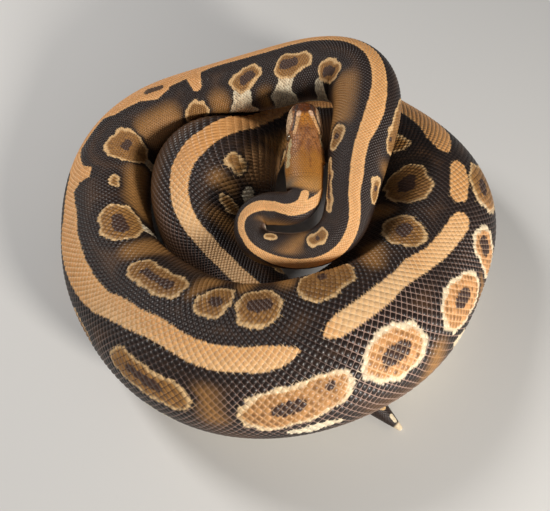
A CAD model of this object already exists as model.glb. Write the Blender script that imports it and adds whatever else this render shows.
"""Coiled ball python, life size: the looks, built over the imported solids.

The body's route and its pressed sections repeat the solids' own, in metres and
finer, but the tail's radius is up to 2.6 mm less and the eyes sit 2 mm lower.
One skin covers head, neck, trunk and tail. Over it lie solid scales: a lattice
on the body, belly plates below, and cells of many sizes on the head.
Markings are functions of the distance along the body and the arc around it.
"""

import math

import bpy
import numpy as np
from mathutils import Matrix, Vector
from mathutils.kdtree import KDTree


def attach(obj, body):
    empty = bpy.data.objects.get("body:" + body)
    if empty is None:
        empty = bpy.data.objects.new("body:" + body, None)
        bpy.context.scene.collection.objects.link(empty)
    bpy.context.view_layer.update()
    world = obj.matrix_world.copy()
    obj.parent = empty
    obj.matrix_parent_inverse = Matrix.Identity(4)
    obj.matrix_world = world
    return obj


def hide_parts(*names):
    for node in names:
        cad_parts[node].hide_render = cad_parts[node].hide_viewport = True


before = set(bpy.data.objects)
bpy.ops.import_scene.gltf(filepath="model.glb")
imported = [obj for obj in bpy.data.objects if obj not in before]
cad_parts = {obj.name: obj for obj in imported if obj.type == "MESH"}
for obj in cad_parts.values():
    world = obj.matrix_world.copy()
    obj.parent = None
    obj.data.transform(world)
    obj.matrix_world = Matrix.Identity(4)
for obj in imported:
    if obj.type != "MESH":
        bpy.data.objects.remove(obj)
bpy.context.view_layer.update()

CM = 0.01
# The solids are centred on their outline, which moves the route by this much.
SHIFT = np.array((0.05, -0.03, 0.0)) * CM

# Station, x, y, z of the middle in cm, girth radius in cm, roll in degrees.
ROUTE = (
    ("snout", 1.72, 5.30, 9.45, 1.00, 5),
    ("brow", 1.76, 3.20, 9.03, 1.00, 5),
    ("cheek", 1.76, 1.10, 8.61, 1.05, 4),
    ("nape", 1.75, 0.00, 8.38, 1.10, 4),
    ("neck_a", 1.65, -0.85, 8.10, 1.04, 5),
    ("neck_b", 0.95, -1.40, 7.90, 1.00, -20),
    ("neck_c", -0.10, -1.25, 7.60, 0.98, -20),
    ("uturn_a", -1.15, -1.45, 7.40, 0.93, 20),
    ("uturn_b", -1.55, -2.25, 7.20, 0.92, 75),
    ("uturn_c", -1.10, -3.30, 7.00, 0.96, 85),
    ("low_a", 0.05, -3.70, 6.90, 1.02, 85),
    ("low_b", 1.40, -3.80, 6.90, 1.10, 80),
    ("low_c", 2.75, -3.55, 7.10, 1.20, 70),
    ("rise_a", 3.80, -2.75, 7.60, 1.30, 40),
    ("rise_b", 4.30, -1.40, 8.10, 1.45, 18),
    ("rise_c", 4.70, 0.45, 8.60, 1.65, 12),
    ("rise_d", 5.25, 2.90, 9.10, 1.90, 14),
    ("rise_e", 5.65, 5.40, 9.40, 2.05, 18),
    ("top_a", 4.95, 7.80, 9.30, 2.15, 28),
    ("top_b", 2.85, 8.90, 8.80, 2.05, 35),
    ("top_c", 0.30, 9.05, 8.00, 2.00, 30),
    ("top_d", -2.40, 8.95, 7.00, 2.05, 25),
    ("top_e", -5.35, 8.85, 5.80, 2.15, 18),
    ("left_a", -8.40, 8.40, 4.35, 2.40, 18),
    ("left_b", -10.65, 7.00, 3.00, 2.60, 30),
    ("left_c", -11.50, 4.20, 2.40, 2.85, 42),
    ("left_d", -11.15, 0.65, 2.56, 3.05, 46),
    ("left_e", -10.00, -2.75, 2.86, 3.40, 40),
    ("bottom_a", -7.90, -5.90, 3.40, 3.75, 32),
    ("bottom_b", -5.35, -8.40, 4.50, 4.00, 27),
    ("bottom_c", -2.50, -9.75, 5.20, 4.15, 24),
    ("bottom_d", 0.50, -9.85, 5.40, 4.20, 18),
    ("bottom_e", 3.65, -8.70, 5.00, 4.25, 8),
    ("right_a", 6.75, -6.25, 4.10, 4.25, 4),
    ("right_b", 8.95, -2.70, 3.55, 4.20, 8),
    ("right_c", 10.15, 1.05, 3.44, 4.10, 14),
    ("right_d", 9.30, 4.45, 3.23, 3.85, 20),
    ("under_a", 7.10, 7.65, 2.90, 3.45, 5),
    ("under_b", 4.45, 10.30, 2.60, 3.10, -25),
    ("inner_a", 1.45, 11.25, 2.56, 3.05, -33),
    ("inner_b", -1.55, 9.25, 2.90, 3.45, -30),
    ("inner_c", -3.50, 6.35, 3.23, 3.85, -5),
    ("inner_d", -4.35, 3.25, 3.40, 4.05, 26),
    ("inner_e", -4.60, 0.30, 2.90, 3.45, 30),
    ("dive_a", -3.35, -2.00, 2.30, 2.75, 15),
    ("dive_b", -0.90, -4.80, 1.98, 2.35, 5),
    ("vent", 1.90, -7.35, 1.60, 1.90, 0),
    ("tail_a", 4.20, -9.35, 1.09, 1.30, 0),
    ("tail_b", 5.80, -10.75, 0.62, 0.74, 0),
    ("tail_c", 6.85, -11.70, 0.34, 0.40, 0),
    ("tip", 7.65, -12.40, 0.11, 0.12, 0),
)
# Distance from the snout, half width, height above the axis, depth below it in
# cm, and how square the section is.
HEAD = (
    (0.00, 0.30, 0.16, 0.16, 2.2),
    (0.12, 0.55, 0.30, 0.34, 2.3),
    (0.35, 0.77, 0.39, 0.48, 2.4),
    (0.80, 0.97, 0.50, 0.60, 2.4),
    (1.40, 1.08, 0.61, 0.69, 2.4),
    (2.00, 1.09, 0.70, 0.76, 2.4),
    (2.50, 1.06, 0.75, 0.81, 2.4),
    (3.00, 1.13, 0.77, 0.86, 2.3),
    (3.80, 1.21, 0.81, 0.93, 2.2),
    (4.60, 1.23, 0.88, 0.99, 2.1),
    (5.36, 1.14, 1.00, 1.04, 2.0),
)
# The eyes: distance back from the snout, out, up, and radius, in cm.
EYE_BACK, EYE_OUT, EYE_UP, EYE_RADIUS = 2.48, 0.86, 0.16, 0.28
# Half width and half height of the free body, in girths.
WIDE, TALL = 1.04, 0.95
PATH_STEP = 0.25 * CM
PATH_POINTS = 4000
HEAD_END = HEAD[-1][0] * CM

# Stretches at least this many girths apart along the body can press on each
# other; the nearer ones count as the same stretch.
OTHERS_FROM, OWN_WITHIN = 2.4, 2.0
# What is left on each side where two stretches press on each other.
CONTACT_GAP = 0.02 * CM
# The shared surface is looked for in steps out to this many free reaches.
SEARCH_REACH, SEARCH_STEPS, HALVINGS = 1.5, 15, 9
# The reach, in metres, of a ray that meets no such surface.
FAR_AWAY = 1.0
# The inside of a bend keeps this share of the bend's radius.
BEND_SHARE = 0.93
# Widths of rounding, in girths, at tight bends, at pressed sides, at the floor.
BEND_SOFT, PRESS_SOFT, FLOOR_SOFT = 0.35, 0.30, 0.10
# A point pressed in by this many girths counts as shut in.
SHUT_DEPTH = 0.12

# Points in each ring of the skin, rings on the head, and how they crowd.
AROUND = 124
HALF = AROUND // 2
HEAD_RINGS, HEAD_CROWDING = 112, 1.25
RING_PITCH, RING_LEAST, RING_MOST = 0.085, 0.05 * CM, 0.30 * CM
# The ring at which the normals' sense is read.
PROBE_RING = 50
# Steps, from belly round to belly, at which the ring places are kept.
PART_STEPS = 240
SEED = 7


def unit(v):
    """The vectors scaled to length one."""
    return v / np.linalg.norm(v, axis=-1)[..., None]


def smooth(low, high, value):
    """From 0 at low to 1 at high, eased at both ends."""
    t = np.clip((np.asarray(value, float) - low) / (high - low), 0, 1)
    return t * t * (3 - 2 * t)


def bump_at(value, centre, width):
    return np.exp(-(((value - centre) / width) ** 2))


def read_table(table, at, column=1):
    """A column of a table, read between its rows at a place in the first."""
    return np.interp(at, [row[0] for row in table], [row[column] for row in table])


# ---------------------------------------------------------------- the body

def natural_spline(rows, count):
    """A natural cubic through the rows, spaced by the chord between points."""
    chord = np.linalg.norm(np.diff(rows[:, :3], axis=0), axis=1) ** 0.6
    knots = np.concatenate(([0.0], np.cumsum(chord)))
    steps = np.diff(knots)
    size = len(knots)
    matrix = np.eye(size)
    right = np.zeros_like(rows)
    for i in range(1, size - 1):
        matrix[i, i - 1] = steps[i - 1]
        matrix[i, i] = 2 * (steps[i - 1] + steps[i])
        matrix[i, i + 1] = steps[i]
        after = (rows[i + 1] - rows[i]) / steps[i]
        before = (rows[i] - rows[i - 1]) / steps[i - 1]
        right[i] = 6 * (after - before)
    bend = np.linalg.solve(matrix, right)
    where = np.unique(np.concatenate((np.linspace(0, knots[-1], count), knots)))
    k = np.clip(np.searchsorted(knots, where, side="right") - 1, 0, size - 2)
    width = steps[k][:, None]
    a = (knots[k + 1] - where)[:, None] / width
    b = 1 - a
    cubic = ((a**3 - a) * bend[k] + (b**3 - b) * bend[k + 1]) * width**2 / 6
    return a * rows[k] + b * rows[k + 1] + cubic, np.searchsorted(where, knots)


def ease(x, knots, values):
    """A smooth curve through the values: cubic pieces with averaged slopes."""
    knots, values = np.asarray(knots), np.asarray(values)
    slope = np.gradient(values, knots)
    x = np.clip(x, knots[0], knots[-1])
    k = np.clip(np.searchsorted(knots, x, side="right") - 1, 0, len(knots) - 2)
    width = knots[k + 1] - knots[k]
    t = (x - knots[k]) / width
    return (
        (1 + 2 * t) * (1 - t) ** 2 * values[k]
        + t * (1 - t) ** 2 * width * slope[k]
        + t * t * (3 - 2 * t) * values[k + 1]
        - t * t * (1 - t) * width * slope[k + 1]
    )


class Body:
    """The path of the body: place, size and axes at any distance along it."""

    def __init__(self):
        rows = np.array([row[1:] for row in ROUTE], float)
        rows[:, :4] *= CM
        rows[:, 4] = np.radians(rows[:, 4])
        dense, at_station = natural_spline(rows, PATH_POINTS)
        run = np.linalg.norm(np.diff(dense[:, :3], axis=0), axis=1)
        run = np.concatenate(([0.0], np.cumsum(run)))
        self.station = {row[0]: run[i] for row, i in zip(ROUTE, at_station)}
        self.length = run[-1]
        self.s = np.linspace(0, self.length, int(self.length / PATH_STEP) + 1)
        self.rows = np.stack([np.interp(self.s, run, c) for c in dense.T], 1)
        self.middle = self.rows[:, :3]
        self.girth = self.rows[:, 3]
        self.tangent = unit(np.gradient(self.middle, self.s, axis=0))
        self.bend = np.gradient(self.tangent, self.s, axis=0)

    def at(self, s):
        """Middle, girth, roll, side and up axes, and bend, at distance s."""
        row, along, bend = (
            np.array([np.interp(s, self.s, c) for c in grid.T])
            for grid in (self.rows, self.tangent, self.bend)
        )
        along = unit(along)
        side = unit(np.cross(along, (0, 0, 1)))
        return row[:3], row[3], row[4], side, np.cross(side, along), bend


def soft_min(a, b, width):
    """The smaller of two, rounded off where they are within width."""
    near = np.maximum(width - np.abs(a - b), 0) / width
    return np.minimum(a, b) - near * near * width / 4


def free_reach(s, girth, turn):
    """How far the body reaches from its middle where nothing presses on it."""
    half, top, below, square = WIDE * girth, TALL * girth, TALL * girth, 2.0
    if s < HEAD_END:
        back, *sizes, squares = np.array(HEAD).T
        half, top, below = (ease(s, back * CM, size * CM) for size in sizes)
        square = ease(s, back * CM, squares)
    tall = np.where(np.cos(turn) > 0, top, below)
    across = np.abs(np.sin(turn) / half) ** square
    upward = np.abs(np.cos(turn) / tall) ** square
    return (across + upward) ** (-1 / square)


def pressed_reach(body, s, middle, girth, rays, free):
    """Where each ray meets the surface shared with a stretch that presses."""
    apart = np.abs(body.s - s)
    close = np.linalg.norm(body.middle - middle, axis=1) < body.girth + 2 * girth
    other = (apart > OTHERS_FROM * girth) & close & (body.s > body.station["cheek"])
    if not other.any() or s < body.station["cheek"]:
        return np.full(len(rays), FAR_AWAY)
    own = apart < OWN_WITHIN * girth

    def nearest(point, which):
        """Distance to the nearest of a stretch's middles, in its girths."""
        centres = body.middle[which]
        square = (point * point).sum(1)[:, None] - 2 * point @ centres.T
        square = np.maximum(square + (centres * centres).sum(1), 0)
        return (np.sqrt(square) / body.girth[which]).min(1)

    def side_of_surface(reach):
        point = middle + reach[:, None] * rays
        return nearest(point, other) - nearest(point, own)

    low, high = np.zeros(len(rays)), free * SEARCH_REACH
    meets = np.zeros(len(rays), bool)
    for part in np.linspace(0.1, SEARCH_REACH, SEARCH_STEPS):
        beyond = (side_of_surface(part * free) < 0) & ~meets
        high = np.where(beyond, part * free, high)
        meets |= beyond
        low = np.where(meets, low, part * free)
    for _ in range(HALVINGS):
        half_way = (low + high) / 2
        inside = side_of_surface(half_way) > 0
        low = np.where(inside, half_way, low)
        high = np.where(inside, high, half_way)
    return np.where(meets, low - CONTACT_GAP, FAR_AWAY)


def ring(body, s):
    """The outline at distance s, and how far each point is shut in."""
    middle, girth, roll, side, up, bend = body.at(s)
    turn = roll + np.arange(AROUND) * 2 * math.pi / AROUND
    rays = np.cos(turn)[:, None] * up + np.sin(turn)[:, None] * side
    free = free_reach(s, girth, turn)
    inward = np.maximum(rays @ bend, 1e-4)
    reach = soft_min(free, BEND_SHARE / inward, BEND_SOFT * girth)
    pressed = pressed_reach(body, s, middle, girth, rays, free)
    shut = np.clip((reach - pressed) / (SHUT_DEPTH * girth), 0, 1)
    reach = soft_min(reach, pressed, PRESS_SOFT * girth)
    down = np.maximum(-rays[:, 2], 1e-3)
    reach = soft_min(reach, middle[2] / down, FLOOR_SOFT * girth)
    points = middle + reach[:, None] * rays
    points[:, 2] = np.maximum(points[:, 2], 0)
    return points, shut


def ring_places(body):
    """Ring distances: close on the head, then in step with the girth."""
    places = list(HEAD_END * np.linspace(0, 1, HEAD_RINGS) ** HEAD_CROWDING)
    while places[-1] < body.length:
        girth = np.interp(places[-1], body.s, body.girth)
        places.append(places[-1] + min(max(RING_PITCH * girth, RING_LEAST), RING_MOST))
    places[-1] = body.length
    return np.array(places)


# Height of the mouth line over the head's axis: distance back, height, in cm.
MOUTH = ((0, -0.10), (0.4, -0.13), (1.5, -0.15), (2.6, -0.13), (3.5, -0.05), (3.9, 0.02))


def head_relief(back, out, high):
    """How far the head's surface sits out from the plain section, in cm.

    back is the distance from the snout, out the distance from the mid-plane and
    high the height over the axis, all in cm.
    """
    mouth = read_table(MOUTH, back)
    # The closed mouth's groove, and the fuller lips above and below it.
    relief = -0.055 * bump_at(high, mouth, 0.035) * smooth(3.95, 3.6, back)
    lips = smooth(0.1, 0.5, back) * smooth(3.9, 2.4, back)
    relief += 0.018 * bump_at(high, mouth + 0.17, 0.11) * lips
    relief += 0.012 * bump_at(high, mouth - 0.15, 0.10) * lips
    # Hollows before and behind the eye.
    hollow = smooth(0.45, 0.9, back) * smooth(2.35, 1.9, back)
    relief -= 0.045 * bump_at(high, 0.25, 0.10) * hollow
    relief -= 0.030 * bump_at(back, 3.02, 0.25) * bump_at(high, 0.28, 0.22)
    # The brow over the eye and the ledge under the brow.
    brow = bump_at(back, EYE_BACK, 0.42) * bump_at(out, 0.70, 0.14)
    relief += 0.025 * brow * (high > 0.3)
    relief -= 0.080 * bump_at(back, EYE_BACK, 0.30) * bump_at(high, 0.34, 0.16)
    # The furrow along the crown between its two swellings.
    crown = smooth(0.9, 1.6, back) * smooth(4.6, 3.6, back) * (high > 0)
    relief -= 0.025 * bump_at(out, 0, 0.16) * crown
    relief += 0.015 * bump_at(out, 0.38, 0.2) * crown
    # The groove under the chin, and the eye's socket.
    chin = smooth(0.3, 0.7, back) * smooth(3.4, 2.6, back) * (high < 0)
    relief -= 0.030 * bump_at(out, 0, 0.05) * chin
    eye = np.hypot(back - EYE_BACK, high - EYE_UP)
    relief -= 0.14 * smooth(0.29, 0.23, eye) * (out > 0.5)
    return relief


class Surface:
    """The body's outside as a grid of rings, with normals and arc lengths."""

    def __init__(self, body):
        self.body = body
        self.s = ring_places(body)
        rings = [ring(body, s) for s in self.s]
        self.points = np.array([r[0] for r in rings]) + SHIFT
        self.shut = np.array([r[1] for r in rings])
        self.coords = self.head_coords()
        for _ in range(3):
            self.relax()
        self.normals = self.grid_normals(self.points)
        head = self.s < HEAD_END
        out, high = np.abs(self.coords[head, :, 0]), self.coords[head, :, 1]
        back = np.broadcast_to(self.s[head, None] / CM, out.shape)
        relief = head_relief(back, out, high) * CM
        self.points[head] += relief[..., None] * self.normals[head]
        self.normals = self.grid_normals(self.points)
        self.measure_arcs()

    def head_coords(self):
        """Sideways and upward distance from the axis, in cm, for each point."""
        coords = np.zeros(self.points.shape[:2] + (2,))
        for i, s in enumerate(self.s):
            middle, _, _, side, up, _ = self.body.at(s)
            away = self.points[i] - SHIFT - middle
            coords[i, :, 0] = away @ side / CM
            coords[i, :, 1] = away @ up / CM
        return coords

    def relax(self):
        """Even out the creases that pressing leaves between rings."""
        p = self.points
        start = np.searchsorted(self.s, HEAD_END * 1.1)
        around = (np.roll(p, 1, 1) + np.roll(p, -1, 1)) / 2
        along = (p[start - 1 : -2] + p[start + 1 :]) / 2
        p[start:-1] += 0.25 * (around[start:-1] - p[start:-1])
        p[start:-1] += 0.25 * (along - p[start:-1])
        p[..., 2] = np.maximum(p[..., 2], 0)

    @staticmethod
    def grid_normals(points):
        """Outward normals, from the points before and after each point."""
        along = np.gradient(points, axis=0)
        around = np.roll(points, -1, 1) - np.roll(points, 1, 1)
        normal = np.cross(around, along)
        size = np.linalg.norm(normal, axis=2)
        normal /= np.maximum(size, 1e-12)[..., None]
        # Outward is up on the line of the back.
        return -normal if normal[PROBE_RING, 0, 2] < 0 else normal

    def measure_arcs(self):
        """Arc from the line of the back to the line of the belly, each side."""
        step = np.linalg.norm(np.roll(self.points, -1, 1) - self.points, axis=2)
        zero = np.zeros((len(self.s), 1))
        right, left = (
            np.concatenate((zero, np.cumsum(way[:, :HALF], 1)), 1) for way in (step, step[:, ::-1])
        )
        self.right_arc, self.left_arc = right, left
        self.half_right, self.half_left = right[:, -1], left[:, -1]
        # Ring place of each of these parts of the half circumference.
        parts = np.linspace(-1, 1, PART_STEPS + 1)
        self.part_k = np.empty((len(self.s), PART_STEPS + 1))
        index = np.arange(HALF + 1)
        for i in range(len(self.s)):
            plus = np.interp(parts, right[i] / right[i, -1], index)
            minus = -np.interp(-parts, left[i] / left[i, -1], index)
            self.part_k[i] = np.where(parts >= 0, plus, minus)

    def sample(self, grid, row, k):
        """A grid's value between its rings and its points."""
        i = np.clip(row.astype(int), 0, len(self.s) - 2)
        a = (row - i)[..., None]
        j = np.floor(k).astype(int)
        b = (k - j)[..., None]
        j0, j1 = j % AROUND, (j + 1) % AROUND
        if grid.ndim == 2:
            grid = grid[..., None]
        low = grid[i, j0] * (1 - b) + grid[i, j1] * b
        high = grid[i + 1, j0] * (1 - b) + grid[i + 1, j1] * b
        return low * (1 - a) + high * a

    def place_of(self, s, part):
        """Ring number and ring place at distance s and part of the arc."""
        row = np.interp(s, self.s, np.arange(len(self.s)))
        i = np.clip(row.astype(int), 0, len(self.s) - 2)
        a = row - i
        spot = np.clip((part + 1) * PART_STEPS / 2, 0, PART_STEPS - 1e-6)
        j = spot.astype(int)
        b = spot - j
        low, high = (
            self.part_k[ring_i, j] * (1 - b) + self.part_k[ring_i, j + 1] * b
            for ring_i in (i, i + 1)
        )
        return row, low * (1 - a) + high * a

    def arc_cm(self, s, part):
        """Arc from the line of the back, in cm, at a part of the arc."""
        right = np.interp(s, self.s, self.half_right)
        left = np.interp(s, self.s, self.half_left)
        return part * np.where(part >= 0, right, left) / CM


# ------------------------------------------------------------- the markings

def lin(red, green, blue):
    """A colour from its screen values, 0 to 255, to linear light."""
    c = np.array((red, green, blue)) / 255
    return np.where(c <= 0.04045, c / 12.92, ((c + 0.055) / 1.055) ** 2.4)


DARK = lin(35, 24, 19)
DARK_NET = lin(84, 67, 60)
TAUT_NET = lin(164, 134, 120)
BROWN = lin(96, 66, 40)
GOLD = lin(156, 112, 62)
TAN = lin(198, 148, 98)
STRIPE = lin(232, 174, 110)
STRIPE_HEART = lin(214, 150, 86)
STRIPE_PALE = lin(244, 200, 146)
STRIPE_NET = lin(244, 208, 160)
FILL = lin(164, 118, 64)
FILL_HEART = lin(112, 76, 42)
FILL_NET = lin(112, 76, 42)
DULL_RIM = lin(228, 188, 134)
BRIGHT_FILL = lin(224, 163, 104)
BRIGHT_NET = lin(232, 186, 136)
RIM = lin(246, 224, 188)
CORE = lin(66, 44, 34)
CREAM = lin(238, 226, 198)
MAUVE = lin(150, 124, 108)
NAPE_TOP = lin(180, 128, 64)
NAPE_SIDE = lin(138, 118, 94)

# The pale line along the back, in two lengths, two bars and one more length:
# distance from the snout, left edge and right edge in cm of arc from the line
# of the back.
STRIPES = (
    (
        (6.7, -0.62, -0.10), (7.2, -0.66, 0.02), (7.7, -0.42, 0.18), (8.0, -0.33, 0.25),
        (9.0, -0.5, 0.17), (9.5, -0.72, 0.0), (10.0, -0.88, -0.22), (10.6, -0.95, -0.5),
        (11.2, -0.95, -0.58), (11.7, -0.85, -0.42), (12.2, -0.77, -0.26),
        (12.8, -0.66, 0.0), (14.0, -0.5, 0.35), (15.8, -0.4, 0.5), (16.5, -0.32, 0.5),
        (17.2, -0.34, 0.4), (18.0, -0.42, 0.3), (19.0, -0.55, 0.15), (20.0, -0.6, 0.2),
        (21.0, -0.7, 0.1), (22.0, -0.7, 0.1), (23.0, -0.65, 0.4),
        (24.0, -0.6, 0.55), (26.0, -0.5, 0.45), (30.0, -0.6, 0.4),
        (34.0, -0.4, 0.7), (37.5, -0.1, 1.1), (39.0, -0.35, 1.4),
        (41.0, -0.6, 1.5), (43.0, -0.6, 1.5), (44.5, -0.3, 1.6), (45.3, 0.5, 1.7),
        (47.5, 0.6, 1.7), (48.5, -0.2, 1.4), (49.0, -0.6, 1.0), (49.25, -1.35, 0.8),
        (50.2, -1.45, 0.7), (50.45, -0.75, 0.7), (51.0, -0.35, 0.7), (52.5, -0.65, 0.8),
        (53.0, -0.7, 1.2), (54.0, -0.6, 1.5), (56.0, -0.5, 1.5),
        (58.0, -0.4, 1.4), (60.0, -0.4, 1.1), (61.0, -0.7, 0.8), (62.0, -0.8, 0.6),
        (63.0, -0.9, 0.4), (64.0, -1.1, 0.2), (65.0, -1.0, 0.2), (66.0, -0.8, 0.45),
        (67.0, -0.7, 0.6), (69.0, -0.6, 0.7), (69.6, -0.45, 0.6),
        (70.05, -0.2, 0.35), (70.3, 0.05, 0.1),
    ),
    (
        (71.3, -0.25, -0.1), (71.6, -0.6, 0.2), (72.0, -0.8, 0.4), (73.0, -0.85, 0.4),
        (75.0, -0.85, 0.4), (76.0, -0.8, 0.3), (77.0, -0.7, 0.4), (78.0, -0.7, 0.65),
        (79.0, -0.4, 0.9), (80.0, -0.05, 1.15), (82.0, 0.2, 1.45),
        (83.0, 0.25, 1.6), (83.5, 0.5, 1.4), (83.75, 0.85, 1.0),
    ),
    (
        (84.25, 0.2, 0.4), (84.5, -0.2, 0.85), (85.6, -0.35, 0.95),
        (86.6, -0.2, 0.9), (86.95, 0.2, 0.5),
    ),
    (
        (87.6, -0.3, 0.2), (88.0, -0.6, 0.5), (89.0, -0.7, 1.4), (90.0, -0.3, 2.0),
        (92.0, 0.2, 2.9), (93.0, 1.2, 3.2), (93.6, 2.2, 2.6),
    ),
    (
        (94.6, -0.3, -0.1), (95.2, -0.6, 0.4), (98.0, -0.5, 0.7), (102.0, -0.4, 0.7),
        (104.0, -0.85, 0.1), (105.0, -1.05, 0.0), (106.0, -1.3, 0.1),
        (107.0, -1.6, 0.15), (108.0, -1.75, 0.0), (109.0, -1.75, 0.1),
        (110.0, -1.6, 0.3), (111.0, -1.3, 0.3), (112.0, -1.2, 0.1),
        (113.0, -1.2, 0.0), (114.0, -1.0, 0.1), (115.0, -0.8, 0.3),
        (116.0, -0.5, 0.55), (118.0, -0.35, 0.7), (122.0, -0.4, 0.5),
        (125.2, -0.3, 0.35), (125.7, 0.0, 0.05),
    ),
)
# Knobs on the first line, and its two prongs on the nape: chains of discs
# (distance, arc, radius) in cm.
KNOBS = (
    ((38.5, -1.35, 0.33), (38.7, -0.4, 0.5)),
    ((40.8, -0.5, 0.35), (41.4, -0.62, 0.5), (42.2, -0.3, 0.5)),
    ((6.0, -1.46, 0.27), (6.5, -0.92, 0.27), (7.2, -0.38, 0.30)),
    ((6.36, -0.26, 0.25), (6.9, -0.33, 0.26)),
)
KNOB_CORES = (((41.1, -0.25, 0.22), (42.0, -0.05, 0.28)),)
# Ringed spots: a chain of discs for the outline and chains for dark hearts.
SPOTS = (
    (((22.05, -2.1, 0.55), (22.5, -2.1, 0.55)), ((22.3, -2.1, 0.2),)),
    (((28.0, -2.95, 0.72), (29.3, -2.95, 0.8)), ((28.3, -2.9, 0.3), (29.3, -3.0, 0.33))),
    (((31.2, -2.1, 0.6), (32.4, -2.1, 0.85)), ((31.9, -2.0, 0.3), (32.5, -2.0, 0.35))),
    (((34.7, -1.75, 0.62), (35.5, -2.1, 0.75)), ((34.8, -1.9, 0.3), (35.3, -2.0, 0.33))),
    (((38.9, -2.9, 0.72), (39.3, -3.4, 0.8)), ()),
    (((45.4, -2.9, 1.5), (46.5, -2.9, 1.62)), ((45.2, -2.62, 0.26), (46.4, -2.6, 0.3))),
    (((50.4, -3.1, 0.34), (51.0, -3.25, 0.34)), ()),
    (((54.3, -3.35, 1.3), (55.2, -3.4, 1.4)), ((54.4, -3.3, 0.42), (55.3, -3.3, 0.5))),
    (
        ((60.05, -2.75, 0.95), (61.5, -2.8, 0.95), (63.2, -3.0, 1.0)),
        ((60.5, -2.7, 0.25), (62.0, -2.85, 0.25), (63.0, -2.95, 0.36)),
    ),
    (((66.1, -2.9, 0.95), (66.4, -3.7, 0.9)), ((66.3, -3.2, 0.42),)),
    (((68.75, -2.8, 1.2), (68.75, -3.3, 1.2)), ((68.6, -3.1, 0.5), (69.0, -3.1, 0.5))),
    (((72.4, -3.2, 1.4), (73.7, -3.45, 1.55)), ((73.0, -3.6, 0.36),)),
    (((80.4, -1.6, 1.25), (80.9, -2.1, 1.2)), ((80.5, -1.8, 0.45), (80.9, -1.8, 0.45))),
    (((84.8, -2.8, 1.5), (85.9, -3.2, 1.5)), ((85.0, -3.0, 0.55), (85.7, -3.0, 0.6))),
    (((89.5, -2.5, 0.7), (90.3, -2.6, 0.8)), ((90.0, -2.5, 0.25),)),
    (((98.2, -3.4, 1.2), (99.2, -3.6, 1.2)), ((98.7, -3.5, 0.4),)),
    (((104.5, -4.4, 0.9), (105.2, -5.4, 1.0)), ((104.8, -4.9, 0.3),)),
    (((110.35, -3.3, 0.45), (110.6, -4.0, 0.5)), ()),
    (((112.9, -3.6, 0.5), (113.7, -3.6, 0.5)), ()),
    (((118.4, -2.6, 0.6), (119.2, -2.7, 0.6)), ()),
    (((129.5, 0.08, 0.24), (129.95, -0.08, 0.2)), ()),
    (((12.1, -1.7, 0.27), (12.5, -1.78, 0.25)), ()),
    (((15.15, -1.4, 0.45), (15.9, -1.48, 0.48)), ((15.5, -1.45, 0.16),)),
    (
        ((17.9, -1.72, 0.26), (19.0, -1.9, 0.34), (20.7, -2.3, 0.34)),
        ((18.6, -1.85, 0.13), (19.9, -2.1, 0.14)),
    ),
    (((19.15, 1.25, 0.42), (19.9, 1.25, 0.46)), ((19.6, 1.25, 0.2),)),
    (((22.7, 1.9, 0.75), (24.7, 2.3, 0.85)), ((22.8, 1.6, 0.16),)),
    (((28.5, 3.2, 0.9), (29.8, 3.3, 0.9)), ((29.1, 3.2, 0.3),)),
    (((33.0, 3.0, 0.9), (34.4, 3.2, 0.9)), ((33.7, 3.1, 0.3),)),
    (((38.0, 4.0, 1.0), (39.4, 4.2, 1.05)), ((38.7, 4.1, 0.35),)),
    (((43.0, 4.4, 1.2), (44.2, 4.6, 1.2)), ((43.6, 4.5, 0.4),)),
    (((48.2, 4.2, 1.2), (49.6, 4.4, 1.2)), ((49.0, 4.3, 0.42),)),
    (((53.4, 4.4, 1.2), (54.6, 4.8, 1.3)), ((54.0, 4.6, 0.4),)),
    (((58.0, 3.2, 0.62), (59.3, 3.35, 0.65)), ()),
    (((63.1, 2.3, 0.88), (65.5, 2.65, 0.92)), ((63.6, 2.3, 0.25), (65.0, 2.5, 0.3))),
    (
        ((69.3, 3.0, 1.35), (70.9, 2.75, 1.15)),
        ((69.5, 2.9, 0.45), (69.9, 2.9, 0.4)),
        ((71.1, 2.4, 0.24),),
    ),
    (((73.8, 2.6, 1.4), (74.4, 3.0, 1.45)), ((73.8, 2.75, 0.5), (74.4, 2.85, 0.5))),
    (((78.6, 3.6, 1.5), (79.6, 3.8, 1.35)), ((78.8, 3.5, 0.5), (79.3, 3.6, 0.5))),
    (((82.9, 3.2, 1.1), (82.6, 4.6, 0.9)), ((83.0, 3.1, 0.42), (82.8, 3.6, 0.36))),
    (((85.9, 2.3, 1.2), (86.0, 2.9, 1.2)), ((85.8, 2.3, 0.42),)),
    (((91.0, 5.2, 1.1), (92.0, 5.6, 1.1)), ((91.5, 5.4, 0.4),)),
    (((96.5, 4.4, 1.1), (97.6, 4.6, 1.1)), ((97.0, 4.5, 0.4),)),
    (((101.6, 4.2, 1.2), (102.8, 4.6, 1.2)), ((102.2, 4.4, 0.4),)),
    (((107.6, 5.4, 1.2), (108.6, 5.8, 1.2)), ((108.0, 5.6, 0.4),)),
    (((113.2, 4.6, 1.0), (114.2, 4.8, 1.0)), ((113.7, 4.7, 0.35),)),
    (((119.4, 3.4, 0.8), (120.4, 3.5, 0.8)), ((119.9, 3.4, 0.3),)),
)
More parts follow.
